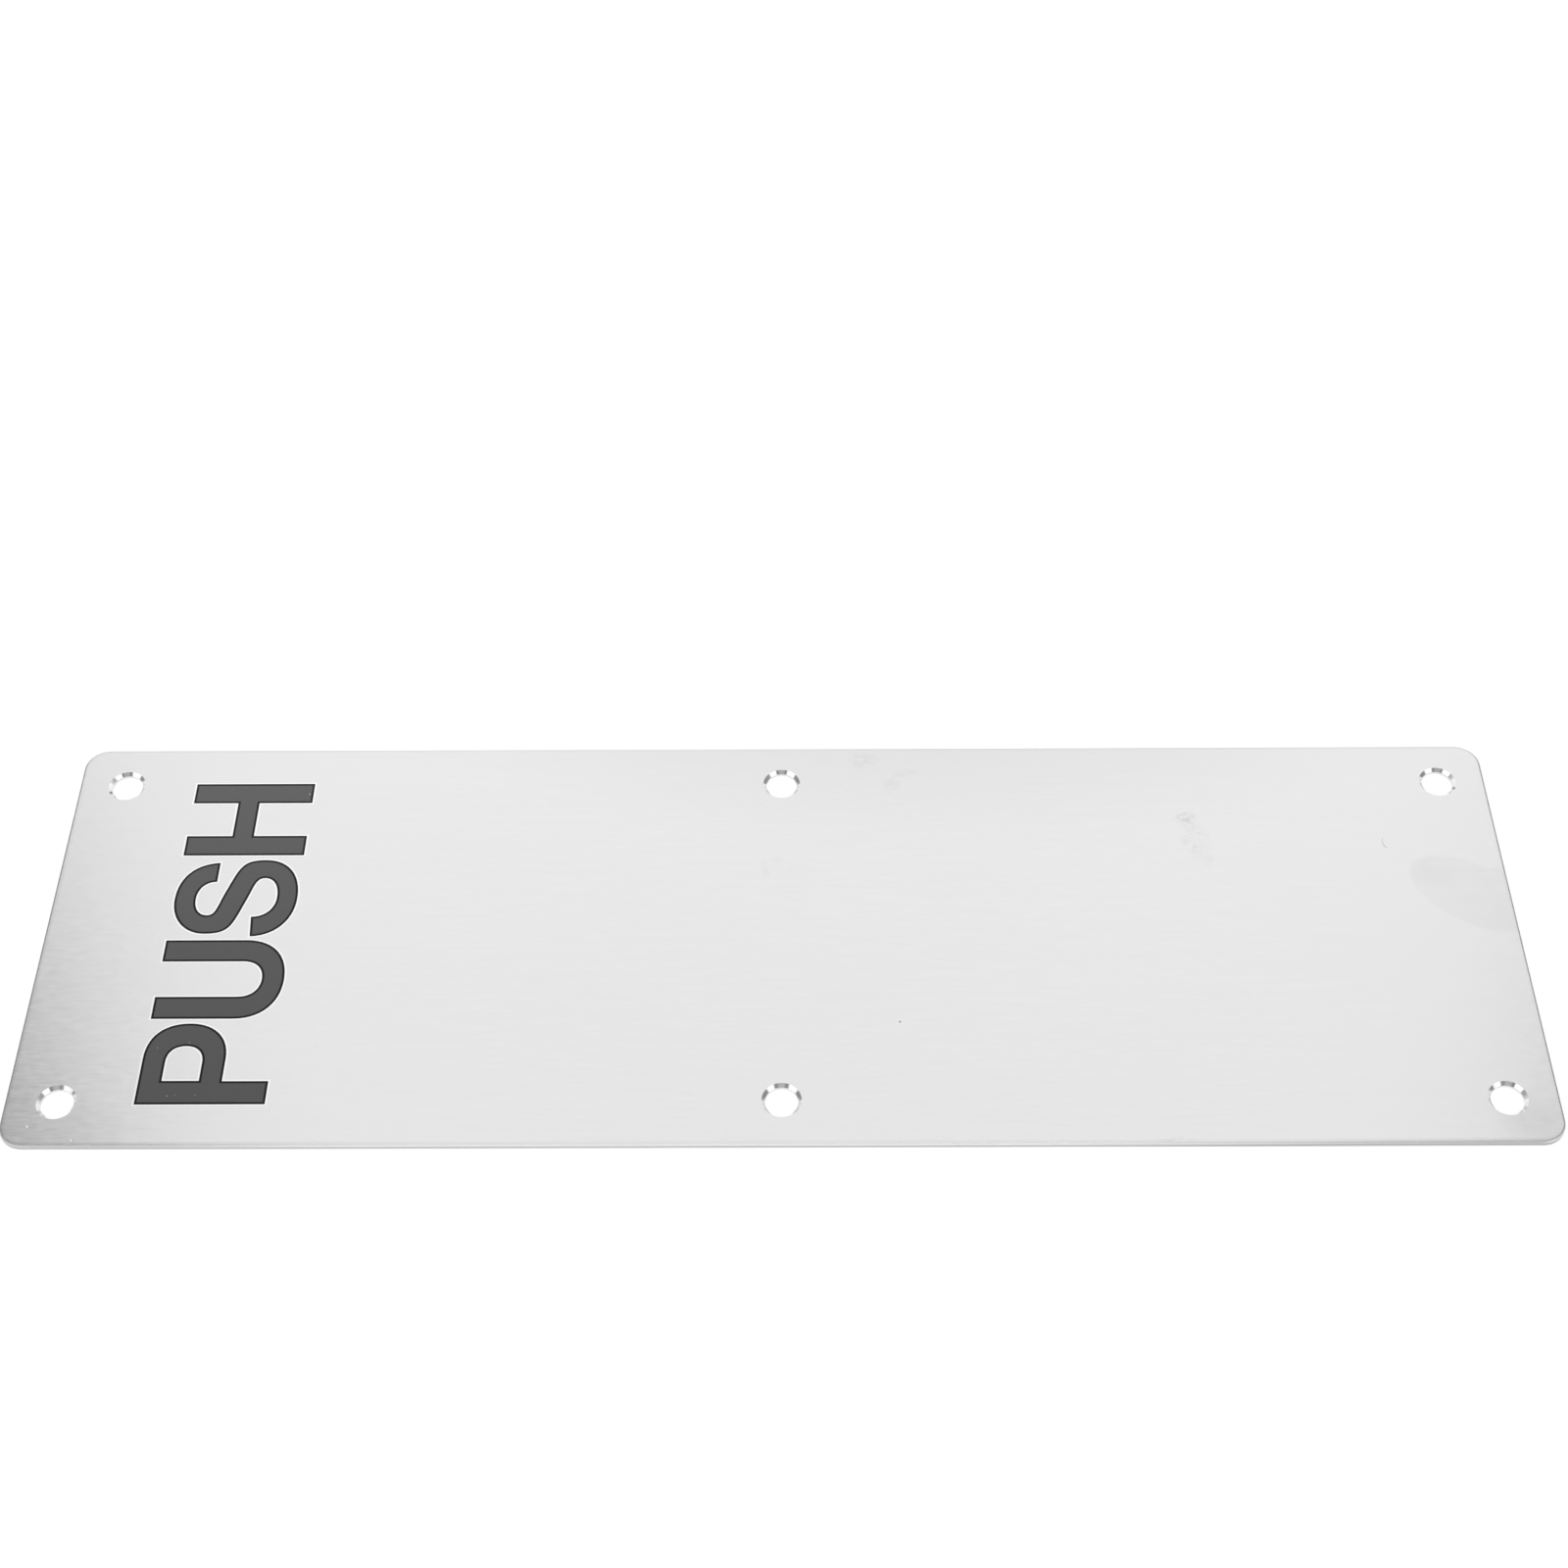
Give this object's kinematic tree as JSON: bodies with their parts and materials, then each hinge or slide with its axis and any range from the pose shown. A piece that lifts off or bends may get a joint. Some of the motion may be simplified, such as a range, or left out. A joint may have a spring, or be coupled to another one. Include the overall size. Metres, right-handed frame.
{
  "type": "door finger plate",
  "caption": "Flat rectangular push plate of brushed steel sheet, with rounded corners and countersunk screw holes along both long edges, screwed to a door where hands push it.",
  "frame": {"origin": "middle of the back face, the face that lies against the door", "axes": "+X along the length, +Y across the width, +Z out of the front face, towards the hand; on a door -X points up"},
  "size_m": [0.3, 0.1, 0.0012],
  "materials": {
    "brushed_steel": "satin, brushed along the length",
    "lettering": "dark grey enamel word printed on the front face"
  },
  "bodies": {
    "root": {"finger_plate": "brushed_steel"}
  },
  "joints": []
}
